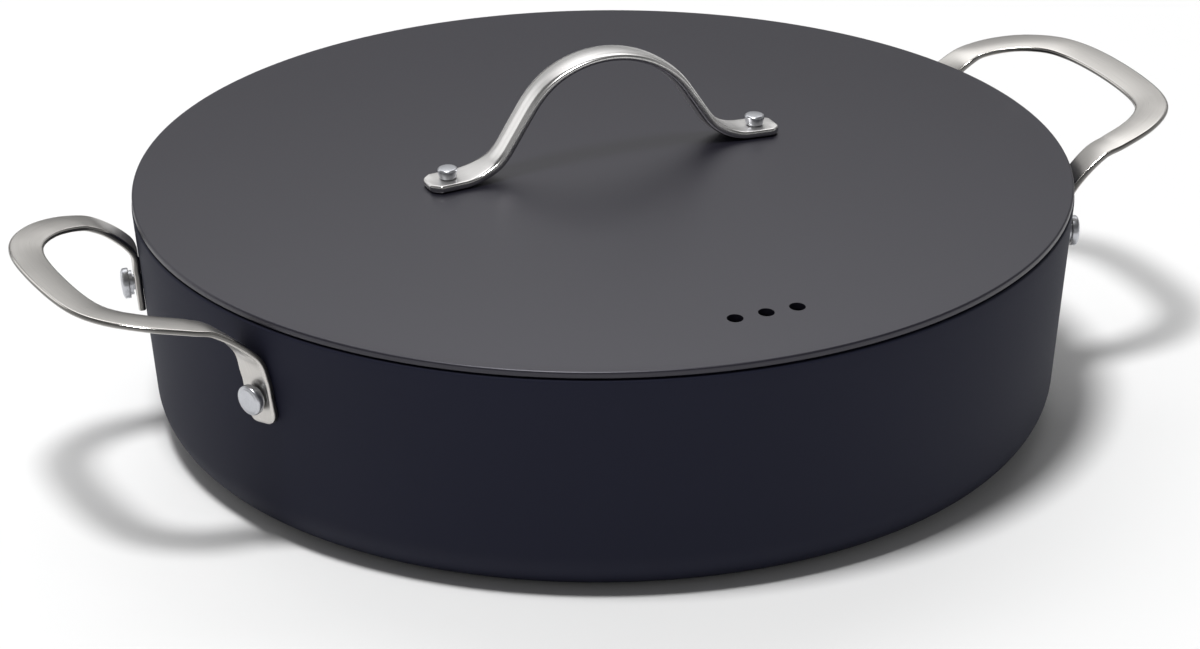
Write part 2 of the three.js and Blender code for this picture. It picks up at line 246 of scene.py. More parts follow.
def brushedSteel(name, finish):
    material, tree, shader = newMaterial(name)
    strapMap = addNode(tree, "ShaderNodeUVMap", uv_map="strap").outputs[0]
    stretch = {"Vector": strapMap, "Scale": (finish["along"], finish["across"], 1)}
    stretched = addNode(tree, "ShaderNodeMapping", stretch).outputs[0]
    streak = noise(tree, stretched, 1.0, "streak")
    place = addNode(tree, "ShaderNodeTexCoord").outputs["Object"]
    cloud = noise(tree, place, finish["cloud"], "cloud")
    tone = mixed(tree, streak, cloud, finish["streakShare"])
    shade = spread(tree, tone, *finish["toneRange"])
    colour = blendColour(tree, shade, finish["dark"], finish["light"])
    polish = addNode(tree, "ShaderNodeAttribute", attribute_name="polish").outputs["Fac"]
    # the cut mask marks the sides: painted shade darkens their colour and they are rougher
    cut = addNode(tree, "ShaderNodeAttribute", attribute_name="cut").outputs["Fac"]
    sideShadeColour = tuple(c * finish["paintedSideShade"] for c in finish["dark"])
    colour = blendColour(tree, cut, colour, sideShadeColour)
    brushed = spread(tree, streak, *finish["rough"])
    polished = blendValue(tree, polish, brushed, finish["edgeRough"])
    rough = blendValue(tree, cut, polished, finish["cutRough"])
    connect(tree, shader, colour, rough, streak, finish)
    tangent = addNode(tree, "ShaderNodeTangent", direction_type="UV_MAP", uv_map="strap")
    tree.links.new(tangent.outputs[0], shader.inputs["Tangent"])
    shader.inputs["Metallic"].default_value = 1
    shader.inputs["Anisotropic"].default_value = finish["anisotropy"]
    return material


# rivets: pale tumbled metal with a frosted face
rivetFinish = {
    "dark": (0.43, 0.44, 0.47),
    "light": (0.63, 0.64, 0.67),
    "toneRange": (-0.3, 1.3),
    "grain": 1900.0,
    "grainShare": 0.5,
    "cloud": 260.0,
    "rough": (0.22, 0.42),
    "bump": 0.08,
    "bumpDepth": 0.06 * mm,
}


def tumbledMetal(name, finish):
    material, tree, shader = newMaterial(name)
    place = addNode(tree, "ShaderNodeTexCoord").outputs["Object"]
    grain = noise(tree, place, finish["grain"], "tumbled")
    cloud = noise(tree, place, finish["cloud"], "cloud")
    tone = mixed(tree, grain, cloud, finish["grainShare"])
    shade = spread(tree, tone, *finish["toneRange"])
    colour = blendColour(tree, shade, finish["dark"], finish["light"])
    connect(tree, shader, colour, spread(tree, tone, *finish["rough"]), grain, finish)
    shader.inputs["Metallic"].default_value = 1
    return material


panSkin = anodised("panAnodised", panFinish)
lidSkin = anodised("lidAnodised", lidFinish)
strapSteel = brushedSteel("strapSteel", strapFinish)
barSteel = brushedSteel("barSteel", barFinishPaintedLight)
rivetMetal = tumbledMetal("rivetMetal", rivetFinish)
print("finishes made")


# turned pieces: a grid whose rows follow a profile and whose columns go round the axis
def latheGroup():
    tree = bpy.data.node_groups.new("latheProfile", "GeometryNodeTree")
    for name, kind in (("Profile", "NodeSocketGeometry"), ("Segments", "NodeSocketInt")):
        tree.interface.new_socket(name, in_out="INPUT", socket_type=kind)
    tree.interface.new_socket("Mesh", in_out="OUTPUT", socket_type="NodeSocketGeometry")
    given = tree.nodes.new("NodeGroupInput")
    profile, segments = given.outputs[0], given.outputs[1]
    rows = addNode(tree, "GeometryNodeAttributeDomainSize", {0: profile}).outputs["Point Count"]
    counts = {"Vertices X": sums(tree, "ADD", segments, 1.0), "Vertices Y": rows}
    grid = addNode(tree, "GeometryNodeMeshGrid", counts).outputs["Mesh"]
    index = addNode(tree, "GeometryNodeInputIndex").outputs[0]
    column = sums(tree, "FLOOR", sums(tree, "DIVIDE", sums(tree, "ADD", index, 0.5), rows))
    row = sums(tree, "SUBTRACT", index, sums(tree, "MULTIPLY", column, rows))
    place = addNode(tree, "GeometryNodeInputPosition").outputs[0]
    source = {0: profile, 1: place, 2: row}
    taken = addNode(tree, "GeometryNodeSampleIndex", source, data_type="FLOAT_VECTOR").outputs[0]
    apart = addNode(tree, "ShaderNodeSeparateXYZ", {0: taken}).outputs
    angle = sums(tree, "MULTIPLY", sums(tree, "DIVIDE", column, segments), math.tau)
    x = sums(tree, "MULTIPLY", apart[0], sums(tree, "COSINE", angle))
    y = sums(tree, "MULTIPLY", apart[0], sums(tree, "SINE", angle))
    swung = addNode(tree, "ShaderNodeCombineXYZ", {0: x, 1: y, 2: apart[2]}).outputs[0]
    moved = {"Geometry": grid, "Position": swung}
    shape = addNode(tree, "GeometryNodeSetPosition", moved).outputs[0]
    merged = {"Geometry": shape, "Distance": 1e-6}  # closes the seam and the poles
    closed = addNode(tree, "GeometryNodeMergeByDistance", merged).outputs[0]
    addNode(tree, "NodeGroupOutput", {0: closed})
    return tree


lathe = latheGroup()


def newTree(name, inputs):
    tree = bpy.data.node_groups.new(name, "GeometryNodeTree")
    tree.interface.new_socket("Geometry", in_out="INPUT", socket_type="NodeSocketGeometry")
    for label, kind in inputs:
        tree.interface.new_socket(label, in_out="INPUT", socket_type="NodeSocket" + kind)
    tree.interface.new_socket("Geometry", in_out="OUTPUT", socket_type="NodeSocketGeometry")
    return tree, tree.nodes.new("NodeGroupInput").outputs


def finishTree(tree, geometry, material):
    real = addNode(tree, "GeometryNodeRealizeInstances", {0: geometry}).outputs[0]
    dressed = {"Geometry": real, "Material": material}
    named = addNode(tree, "GeometryNodeSetMaterial", dressed).outputs[0]
    addNode(tree, "NodeGroupOutput", {0: named})


def latheShape(tree, profile, segments):
    values = {0: profile, 1: segments}
    return addNode(tree, "GeometryNodeGroup", values, node_tree=lathe).outputs[0]


def geometryOf(tree, given):
    return addNode(tree, "GeometryNodeObjectInfo", {0: given}).outputs["Geometry"]


# every seat point carries the direction of its rivet or hole
def onSeats(tree, seats, shape):
    name = {"Name": "heading"}
    heading = addNode(tree, "GeometryNodeInputNamedAttribute", name, data_type="FLOAT_VECTOR")
    along = {"Vector": heading.outputs[0]}
    aligned = addNode(tree, "FunctionNodeAlignRotationToVector", along, axis="Z").outputs[0]
    placed = {"Points": geometryOf(tree, seats), "Instance": shape, "Rotation": aligned}
    return addNode(tree, "GeometryNodeInstanceOnPoints", placed).outputs[0]


def turnedTree():
    tree, given = newTree("turnedPiece", [("Segments", "Int"), ("Material", "Material")])
    shape = latheShape(tree, given["Geometry"], given["Segments"])
    finishTree(tree, shape, given["Material"])
    return tree


def seatedTree():
    inputs = [("Seats", "Object"), ("Segments", "Int"), ("Material", "Material")]
    tree, given = newTree("seatedPieces", inputs)
    shape = latheShape(tree, given["Geometry"], given["Segments"])
    finishTree(tree, onSeats(tree, given["Seats"], shape), given["Material"])
    return tree


# cuts the cutter's profile out of the piece at every seat
def drilledTree():
    objects = [("Seats", "Object"), ("Cutter", "Object")]
    tree, given = newTree("drilledPiece", objects + [("Segments", "Int"), ("Material", "Material")])
    shape = latheShape(tree, geometryOf(tree, given["Cutter"]), given["Segments"])
    placed = onSeats(tree, given["Seats"], shape)
    cutters = addNode(tree, "GeometryNodeRealizeInstances", {0: placed}).outputs[0]
    meshes = {0: given["Geometry"], 1: cutters}
    settings = {"operation": "DIFFERENCE", "solver": "EXACT"}
    cut = addNode(tree, "GeometryNodeMeshBoolean", meshes, **settings).outputs[0]
    finishTree(tree, cut, given["Material"])
    return tree


turned = turnedTree()
seated = seatedTree()
drilled = drilledTree()


def profileObject(name, points):
    mesh = bpy.data.meshes.new(name)
    steps = [(i, i + 1) for i in range(len(points) - 1)]
    mesh.from_pydata([(r, 0, z) for r, z in points], steps, [])
    return link(name, mesh)


def seatObject(name, seats):
    mesh = bpy.data.meshes.new(name)
    mesh.from_pydata([s[0] for s in seats], [], [])
    heading = mesh.attributes.new("heading", "FLOAT_VECTOR", "POINT")
    heading.data.foreach_set("vector", np.array([s[1] for s in seats], np.float32).ravel())
    return link(name, mesh)


def bake(piece, tree, values):
    modifier = piece.modifiers.new("shape", "NODES")
    modifier.node_group = tree
    for item in tree.interface.items_tree:
        if item.in_out == "INPUT" and item.name in values:
            modifier[item.identifier] = values[item.name]
    graph = bpy.context.evaluated_depsgraph_get()
    mesh = bpy.data.meshes.new_from_object(piece.evaluated_get(graph))
    mesh.materials.clear()  # the lathe's grid brings an empty slot
    mesh.materials.append(values["Material"])
    piece.modifiers.remove(modifier)
    old = piece.data
    piece.data = mesh
    mesh.name = piece.name
    bpy.data.meshes.remove(old)


def drill(piece, seats, radius, low, high, material, segments=32):
    cutter = profileObject("drill", [(0, low), (radius, low), (radius, high), (0, high)])
    values = {"Seats": seats, "Cutter": cutter, "Segments": segments, "Material": material}
    bake(piece, drilled, values)
    bpy.data.objects.remove(cutter)


def smooth(piece, angle=40):
    piece.data.shade_smooth()
    piece.data.set_sharp_from_angle(angle=math.radians(angle))


def stand(piece, body, slot, *nodes):
    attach(piece, body)
    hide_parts(*nodes)


# profiles are lists of (radius, height), outwards, up and back to the axis
def arc(x, z, radius, start, end, steps):
    angles = np.linspace(start, end, steps + 1)
    return [(x + radius * math.cos(a), z + radius * math.sin(a)) for a in angles]


def line(first, last, steps):
    run, rise = last[0] - first[0], last[1] - first[1]
    shares = np.linspace(0, 1, steps + 1)[1:-1]
    return [(first[0] + run * s, first[1] + rise * s) for s in shares]


def joined(*runs):
    points = []
    for run in runs:
        points += [p for p in run if not points or math.dist(p, points[-1]) > 1e-7]
    return points


# pan body: turned and drilled for the rivets
pan = {
    "rimRadius": 153.2 * mm,
    "height": 77.5 * mm,
    "lean": math.radians(5.7),
    "wall": 3 * mm,
    "floor": 5 * mm,
    "baseCorner": 17 * mm,
    "innerCorner": 14 * mm,
    "rimRound": 0.9 * mm,
    "recess": 0.6 * mm,
    "ring": 16 * mm,
    "recessSlope": 2 * mm,
    "segments": 256,
    "cornerSteps": 14,
    "rimSteps": 6,
    "wallSteps": 10,
    "floorSteps": 12,
}
rivetSeat = {"pitch": 99 * mm, "drop": 24.3 * mm}
seatGap = 0.3 * mm
holeClearance = 0.3 * mm
rivet = {
    "shank": 2.5 * mm,
    "neckShoulder": 1.5 * mm,
    "neckLength": 1.1 * mm,
    "capOverhang": 1 * mm,
    "capThickness": 2.3 * mm,
    "capCrown": 0.5 * mm,
    "capRound": 0.8 * mm,
    "capSoft": 0.25 * mm,
    "innerShoulder": 3 * mm,
    "innerThickness": 1.4 * mm,
    "innerEdge": 0.15,  # share of the inner head's thickness left upright at its edge
    "segments": 48,
}
rivetBore = rivet["shank"] + holeClearance


def wallRadius(height, depth):
    lean = pan["lean"]
    below = pan["height"] - height
    return pan["rimRadius"] - depth / math.cos(lean) - below * math.tan(lean)


def panProfile():
    lean, wall = pan["lean"], pan["wall"]
    corner, inner, rim = pan["baseCorner"], pan["innerCorner"], pan["rimRound"]
    outerX = wallRadius(corner, corner)
    innerZ = pan["floor"] + inner
    innerX = wallRadius(innerZ, wall + inner)
    rimZ = pan["height"] - rim
    rimOut, rimIn = wallRadius(rimZ, rim), wallRadius(rimZ, wall - rim)
    recessX = outerX - pan["ring"]
    middle, bottom = (0, pan["recess"]), (0, pan["floor"])
    recessEnd = (recessX - pan["recessSlope"], pan["recess"])
    outside = arc(outerX, corner, corner, -quarter, -lean, pan["cornerSteps"])
    lip = arc(rimOut, rimZ, rim, -lean, quarter, pan["rimSteps"])
    lipInside = arc(rimIn, rimZ, rim, quarter, math.pi - lean, pan["rimSteps"])
    inside = arc(innerX, innerZ, inner, -lean, -quarter, pan["cornerSteps"])
    return joined(
        [middle] + line(middle, recessEnd, pan["floorSteps"]) + [recessEnd, (recessX, 0)],
        outside,
        line(outside[-1], lip[0], pan["wallSteps"]),
        lip,
        lipInside,
        line(lipInside[-1], inside[0], pan["wallSteps"]),
        inside,
        line(inside[-1], bottom, pan["floorSteps"]) + [bottom],
    )


# rivet seats on the wall, right and left, front and back
rivetHeight = pan["height"] - rivetSeat["drop"]
footRadius = wallRadius(rivetHeight, 0)
footAngle = math.asin(rivetSeat["pitch"] / 2 / footRadius)
upright = np.array([0.0, 0, 1])


def wallFrame(angle):
    level = np.array([math.cos(angle), math.sin(angle), 0])
    lean = pan["lean"]
    outOfWall = level * math.cos(lean) - upright * math.sin(lean)
    upWall = level * math.sin(lean) + upright * math.cos(lean)
    alongWall = np.array([-math.sin(angle), math.cos(angle), 0])
    origin = footRadius * level + upright * rivetHeight
    return origin, alongWall, upWall, outOfWall


wallPlaces = [wallFrame(turn + end * footAngle) for turn in (0, math.pi) for end in (-1, 1)]
wallSeats = seatObject("wallSeats", [(place[0], place[3]) for place in wallPlaces])

panShell = profileObject("panShell", panProfile())
bake(panShell, turned, {"Segments": pan["segments"], "Material": panSkin})
drill(panShell, wallSeats, rivetBore, -2 * pan["wall"], pan["wall"], panSkin)
smooth(panShell)
stand(panShell, "pan", "pan_anodised", "pan_body")
print("pan body:", len(panShell.data.polygons), "faces")


# straps: a rounded section swept along stations of
# (centre, across, face, width, thickness, oval, crown)
section = {
    "crownMost": 0.2,  # of the thickness
    "roundMost": 0.98,  # of half the width or thickness
    "faceSteps": 10,
    "edgeSteps": 7,
    "polishReach": 1.4,
    "sideShadeFrom": (0.80, 0.97),  # cosines from the side where the painted side shade and the rougher sides start and are full
}


def smoothstep(value, low, high):
    share = min(1.0, max(0.0, (value - low) / (high - low)))
    return share * share * (3 - 2 * share)


def sectionPoints(width, thickness, oval, edge, crown):
    points, polish, cut = [], [], []
    crown = min(crown, thickness * section["crownMost"])
    halfWidth, halfThick = width / 2, thickness / 2 - crown
    edge = min(edge, halfWidth * section["roundMost"], halfThick * section["roundMost"])
    roundX, roundY = edge + (halfWidth - edge) * oval, edge + (halfThick - edge) * oval
    flat = halfWidth - roundX
    for side in (1, -1):
        for share in np.linspace(1, -1, section["faceSteps"] + 1)[1:-1]:
            bulge = crown * (1 - share * share)
            points.append((side * flat * share, side * (halfThick + bulge)))
            polish.append(0.0)
            cut.append(0.0)
        for corner, span in ((1, (quarter, 0)), (-1, (0, -quarter))):
            for angle in np.linspace(*span, section["edgeSteps"] + 1):
                x = -side * (flat + roundX * math.cos(angle))
                y = side * (corner * (halfThick - roundY) + roundY * math.sin(angle))
                turnedOut = math.cos(angle)
                shine = min(1.0, turnedOut * section["polishReach"])
                points.append((x, y))
                polish.append(math.sin(shine * quarter) * (1 - oval))
                # the sides carry painted shade and a rougher finish
                cut.append(smoothstep(turnedOut, *section["sideShadeFrom"]) * (1 - oval))
    return points, polish, cut


def sweepStrap(name, stations, bar, material):
    verts, polishes, sideRoughAndShade, arounds = [], [], [], []
    for centre, across, face, width, thickness, oval, crown in stations:
        points, polish, cut = sectionPoints(width, thickness, oval, bar["edge"], crown)
        verts += [tuple(centre + across * x + face * y) for x, y in points]
        polishes += polish
        sideRoughAndShade += [value * bar["cut"] for value in cut]
        gaps = [0.0] + [math.dist(a, b) for a, b in zip(points, points[1:])]
        arounds.append(np.cumsum(gaps))
    count = len(points)
    centres = [station[0] for station in stations]
    run = np.cumsum([0.0] + [np.linalg.norm(b - a) for a, b in zip(centres, centres[1:])])
    faces, uvs = [], []
    middle = arounds[len(arounds) // 2]
    total = middle[-1] + middle[1]
    for i in range(len(stations) - 1):
        here, there = i * count, (i + 1) * count
        for k in range(count):
            n = (k + 1) % count
            faces.append((here + k, there + k, there + n, here + n))
            v, w = middle[k], middle[n] if n else total
            uvs += [(run[i], v), (run[i + 1], v), (run[i + 1], w), (run[i], w)]
    last = (len(stations) - 1) * count
    for cap, ring in ((range(count), 0), (reversed(range(last, last + count)), -1)):
        ids = tuple(cap)
        faces.append(ids)
        uvs += [(run[ring], middle[i % count]) for i in ids]
    mesh = bpy.data.meshes.new(name)
    mesh.from_pydata(verts, [], faces)
    layer = mesh.uv_layers.new(name="strap")
    layer.data.foreach_set("uv", np.array(uvs, np.float32).ravel())
    for label, values in (("polish", polishes), ("cut", sideRoughAndShade)):
        attribute = mesh.attributes.new(label, "FLOAT", "POINT")
        attribute.data.foreach_set("value", np.array(values, np.float32))
    mesh.materials.append(material)
    return link(name, mesh)


# the same smooth route through points as the solids follow
def smoothRoute(points, marks):
    ends = [2 * points[0] - points[1], *points, 2 * points[-1] - points[-2]]
    places, tangents = [], []
    for mark in marks:
        i = min(int(mark), len(points) - 2)
        t = mark - i
        p0, p1, p2, p3 = ends[i:i + 4]
        d0, d1, d2 = (np.linalg.norm(b - a) ** 0.5 for a, b in ((p0, p1), (p1, p2), (p2, p3)))
        m1 = ((p1 - p0) / d0 - (p2 - p0) / (d0 + d1) + (p2 - p1) / d1) * d1
        m2 = ((p2 - p1) / d1 - (p3 - p1) / (d1 + d2) + (p3 - p2) / d2) * d1
        square, cube = 2 * m1 + m2 - 3 * (p2 - p1), m1 + m2 - 2 * (p2 - p1)
        places.append(p1 + m1 * t - square * t ** 2 + cube * t ** 3)
        slope = m1 - 2 * square * t + 3 * cube * t ** 2
        tangents.append(slope / np.linalg.norm(slope))
    return places, tangents


def tipInset(distance, radius):
    cut = max(0.0, radius - distance)
    return radius - math.sqrt(max(0.0, radius ** 2 - cut ** 2))


# loop handles: one bent strap, the left one is the right one given half a turn
strap = {
    "width": 11.2 * mm,
    "footWidth": 12.4 * mm,
    "thickness": 2.4 * mm,
    "edge": 0.9 * mm,
    "crown": 0.26 * mm,
    "cut": 1.0,  # how dark the painted shade on its sides is, and how rough they are
    "footGap": 0.05 * mm,
    "tipLength": 9.4 * mm,
    "tipRound": 4.2 * mm,
    "flat": 6 * mm,
    "rise": (10.2 * mm, 1.4 * mm, 1 * mm),  # drop below the rim, shift, standoff
    "slant": math.radians(7.3),
    "reach": 39.8 * mm,
    "lift": 4.5 * mm,
    "bend": (4.9 * mm, 3 * mm, 1 * mm),  # reach, inset, drop below the rim
    "shoulder": (11.6 * mm, 3.1 * mm),  # reach, drop
    "arm": (16.3 * mm, 4.1 * mm, 1.1 * mm),  # setback, taper, drop
    "corner": (6.6 * mm, 15.4 * mm, 0.3 * mm),  # setback, inset, drop
    "bar": (2.1 * mm, 9.9 * mm, 0.2 * mm),  # setback, run, drop
    "tilt": math.radians(6.1),
    "turn": (2.3, 5.3),  # where the strap turns off the wall, in route points
    "steps": 22,
    "tipMarks": (  # closer stations round the tip, in shares of the first span
        0, 0.004, 0.012, 0.024, 0.04, 0.06, 0.085, 0.12, 0.16,
        0.2, 0.25, 0.3, 0.36, 0.42, 0.5, 0.65, 0.8,
    ),
}


def halfLoop(side):
    origin, along, up, out = wallFrame(side * footAngle)
    slant, rim, reach = strap["slant"], pan["height"], strap["reach"]
    loopTop = rim + strap["lift"]

    def onFoot(rise, standoff, shift=0.0):
        sideways = -side * (rise * math.sin(slant) + shift)
        outwards = strap["footGap"] + strap["thickness"] / 2 + standoff
        return origin + along * sideways + up * rise * math.cos(slant) + out * outwards

    def onLoop(reach, inset, height):
        across = side * (rivetSeat["pitch"] / 2 - inset)
        return np.array([pan["rimRadius"] + reach, across, height])

    rise, bend, shoulder = strap["rise"], strap["bend"], strap["shoulder"]
    arm, corner, bar = strap["arm"], strap["corner"], strap["bar"]
    return [
        onFoot(-strap["tipLength"], 0),
        onFoot(0, 0),
        onFoot(strap["flat"], 0),
        onFoot(rivetSeat["drop"] - rise[0], rise[2], rise[1]),
        onLoop(bend[0], bend[1], rim - bend[2]),
        onLoop(shoulder[0], bend[1], loopTop - shoulder[1]),
        onLoop(reach - arm[0], bend[1] + arm[1], loopTop - arm[2]),
        onLoop(reach - corner[0], corner[1], loopTop - corner[2]),
        onLoop(reach - bar[0], corner[1] + bar[1], loopTop - bar[2]),
    ]


def loopStations():
    middle = np.array([pan["rimRadius"] + strap["reach"], 0, pan["height"] + strap["lift"]])
    points = [*halfLoop(-1), middle, *halfLoop(1)[::-1]]
    spans, steps = len(points) - 1, strap["steps"]
    tip = list(strap["tipMarks"])
    body = [i / steps for i in range(steps, (spans - 1) * steps + 1)]
    marks = tip + body + [spans - t for t in reversed(tip)]
    places, tangents = smoothRoute(points, marks)
    loopFace = np.array([-math.sin(strap["tilt"]), 0, math.cos(strap["tilt"])])
    stations = []
    for mark, place, tangent in zip(marks, places, tangents):
        side = -1 if mark < spans / 2 else 1
        onWall = -side * wallFrame(side * footAngle)[1]
        inLoop = np.cross(loopFace, tangent)
        offWall = smoothstep(min(mark, spans - mark), *strap["turn"])
        across = onWall * (1 - offWall) + inLoop / np.linalg.norm(inLoop) * offWall
        across = across - tangent * (across @ tangent)
        across /= np.linalg.norm(across)
        fromTip = min(np.linalg.norm(place - places[0]), np.linalg.norm(place - places[-1]))
        narrow = tipInset(fromTip, strap["tipRound"])
        thin = tipInset(fromTip, strap["edge"])
        width = strap["footWidth"] + (strap["width"] - strap["footWidth"]) * offWall
        size = (width - 2 * narrow - 2 * thin, strap["thickness"] - 2 * thin)
        face = np.cross(tangent, across)
        stations.append((place, across, face, *size, 0.0, strap["crown"] * offWall))
    return stations


loop = loopStations()
halfTurn = np.diag([-1.0, -1, 1])
for sideName, turnBy in (("Right", np.eye(3)), ("Left", halfTurn)):
    placed = [(*(turnBy @ v for v in station[:3]), *station[3:]) for station in loop]
    handle = sweepStrap("loopHandle" + sideName, placed, strap, strapSteel)
    through = (-strap["thickness"], 3 * strap["thickness"])
    drill(handle, wallSeats, rivetBore, *through, strapSteel)
    smooth(handle)
    stand(handle, "pan", "handle_steel", "handle_" + sideName.lower())
    print(handle.name, len(handle.data.polygons), "faces")


def wallRivetProfile():
    inside = -pan["wall"] - seatGap
    footTop = 2 * seatGap + strap["thickness"]
    capBase = footTop + rivet["neckLength"]
    capEdge = capBase + rivet["capThickness"]
    shank = rivet["shank"]
    neck = shank + rivet["neckShoulder"]
    cap = neck + rivet["capOverhang"]
    inner = shank + rivet["innerShoulder"]
    thick, edge, soft = rivet["innerThickness"], rivet["capRound"], rivet["capSoft"]
    flat = thick * rivet["innerEdge"]
    angles = np.linspace(0, quarter, 9)
    face, crown = cap - edge, rivet["capCrown"]
    return joined(
        [(0, inside - thick), (inner - thick, inside - thick)],
        arc(inner - thick, inside - flat, thick - flat, -quarter, 0, 6),
        [(inner - flat, inside), (shank, inside), (shank, footTop)],
        [(neck, footTop), (neck, capBase)],
        arc(cap - soft, capBase + soft, soft, -quarter, 0, 3),
        arc(face, capEdge - edge, edge, 0, quarter, 6),
        [(face * math.cos(a), capEdge + crown * math.sin(a)) for a in angles],
    )


wallRivets = profileObject("wallRivets", wallRivetProfile())
riveting = {"Seats": wallSeats, "Segments": rivet["segments"], "Material": rivetMetal}
bake(wallRivets, seated, riveting)
smooth(wallRivets)
wallNodes = ["rivet_%s_%s" % (side, end) for side in ("left", "right") for end in ("front", "back")]
stand(wallRivets, "pan", "rivet_metal", *wallNodes)
print("wall rivets:", len(wallRivets.data.polygons), "faces")


# lid: a shallow dome with a locating ring under it and three vents
lid = {
    "inset": 0.2 * mm,
    "seatGap": 0.4 * mm,
    "edge": 2.4 * mm,
    "edgeRound": 0.8 * mm,
    "skin": 2.2 * mm,
    "rise": 8.1 * mm,
    "turn": math.radians(-2.4),
    "ringDepth": 6 * mm,
    "ringThickness": 2.2 * mm,
    "ringClearance": 1 * mm,
    "ringRound": 0.5 * mm,
    "vents": 3,
    "ventDiameter": 5.2 * mm,
    "ventPitch": 10.6 * mm,
    "ventSetback": 27.6 * mm,
    "ventSegments": 48,
    "rivetPitch": 108.4 * mm,
    "segments": 256,
    "sharpAngle": 32,
}
bridgeRivet = {
    "shank": 2 * mm,
    "shoulder": 0.8 * mm,
    "flare": 0.5 * mm,
    "height": 3.2 * mm,
    "round": 0.8 * mm,
    "peak": (0.4 * mm, 0.05 * mm),  # radius and height of the small flat on top
    "innerShoulder": 2 * mm,
    "innerThickness": 1.2 * mm,
    "innerRound": 0.4 * mm,
    "segments": 40,
}
bridgeBore = bridgeRivet["shank"] + holeClearance
lidRadius = pan["rimRadius"] - lid["inset"]
lidBottom = pan["height"] + lid["seatGap"]
lidEdgeTop = lidBottom + lid["edge"]
domeRadius = lidRadius - lid["edgeRound"]
sphere = (domeRadius ** 2 + lid["rise"] ** 2) / (2 * lid["rise"])
sphereZ = lidEdgeTop + lid["rise"] - sphere
lidTurn = np.array(Matrix.Rotation(lid["turn"], 3, "Z"))


def lidProfile():
    ringBottom = pan["height"] - lid["ringDepth"]
    ringOuter = wallRadius(ringBottom, pan["wall"]) - lid["ringClearance"]
    ringInner = ringOuter - lid["ringThickness"]
    under = sphere - lid["skin"]
    edge, soft = lid["edgeRound"], lid["ringRound"]
    domeEdge = math.acos(domeRadius / sphere)
    return joined(
        arc(0, sphereZ, under, quarter, math.acos(ringInner / under), 24),
        arc(ringInner + soft, ringBottom + soft, soft, math.pi, 3 * quarter, 4),
        arc(ringOuter - soft, ringBottom + soft, soft, -quarter, 0, 4),
        [(ringOuter, lidBottom)],
        line((ringOuter, lidBottom), (domeRadius, lidBottom), 3),
        arc(domeRadius, lidBottom + edge, edge, -quarter, 0, 6),
        arc(domeRadius, lidEdgeTop - edge, edge, 0, domeEdge, 6),
        arc(0, sphereZ, sphere, domeEdge, quarter, 40),
    )


def domePoint(x, y):
    return np.array([x, y, sphereZ + math.sqrt(sphere ** 2 - x * x - y * y)])


def lidSeat(distance):
    place = domePoint(distance, 0)
    out = (place - upright * sphereZ) / sphere
    return lidTurn @ place, lidTurn @ out


lidSeats = seatObject("lidSeats", [lidSeat(side * lid["rivetPitch"] / 2) for side in (1, -1)])
ventRow = [(i - (lid["vents"] - 1) / 2) * lid["ventPitch"] for i in range(lid["vents"])]
ventPlaces = [domePoint(x, lid["ventSetback"] - lidRadius) for x in ventRow]
ventSeats = seatObject("ventSeats", [(lidTurn @ place, upright) for place in ventPlaces])

lidShell = profileObject("lidCover", lidProfile())
bake(lidShell, turned, {"Segments": lid["segments"], "Material": lidSkin})
skin, ventRadius = lid["skin"], lid["ventDiameter"] / 2
drill(lidShell, ventSeats, ventRadius, -3 * skin, skin, lidSkin, lid["ventSegments"])
drill(lidShell, lidSeats, bridgeBore, -2 * skin, skin, lidSkin)
smooth(lidShell, lid["sharpAngle"])
stand(lidShell, "lid", "lid_anodised", "lid_shell")
print("lid:", len(lidShell.data.polygons), "faces")


# lid handle: a bar with rounded sides, flatter at the grip and pressed flat into feet at both ends
bridge = {
    "leg": (10.2 * mm, 4.0 * mm, 0.50),  # width, thickness, share of oval
    "grip": (10.6 * mm, 3.0 * mm, 0.35),
    "foot": (12.5 * mm, 2.4 * mm, 0.0),
    "edge": 0.8 * mm,
    "crown": 0.20 * mm,
    "cut": 0.2,  # how dark the painted shade on its sides is, and how rough they are
    "rise": 34.8 * mm,
    "legAngle": math.radians(57),
    "footBend": 18.3 * mm,
    "footInner": 3.8 * mm,
    "footTip": 7.4 * mm,
    "tipClip": 3 * mm,
    "clipRound": 0.18,  # share of the clipped tip that is round
    "gripFrom": 0.3,  # share of the crown before the middle that has the full grip
    "leftShift": 1.5 * mm,  # the left leg stands a little further in
    "leftSpan": (0.12, 0.55),  # shares of the rise between which it is shifted in full
    "bendSteps": 22,
    "legSteps": 8,
    "crownSteps": 40,
    "tipMarks": (  # closer stations round the tip, in mm from it
        0, 0.03, 0.1, 0.2, 0.35, 0.55, 0.8, 1.2, 1.7,
        2.2, 2.6, 2.9, 3.2, 3.6, 5, 7,
    ),
}


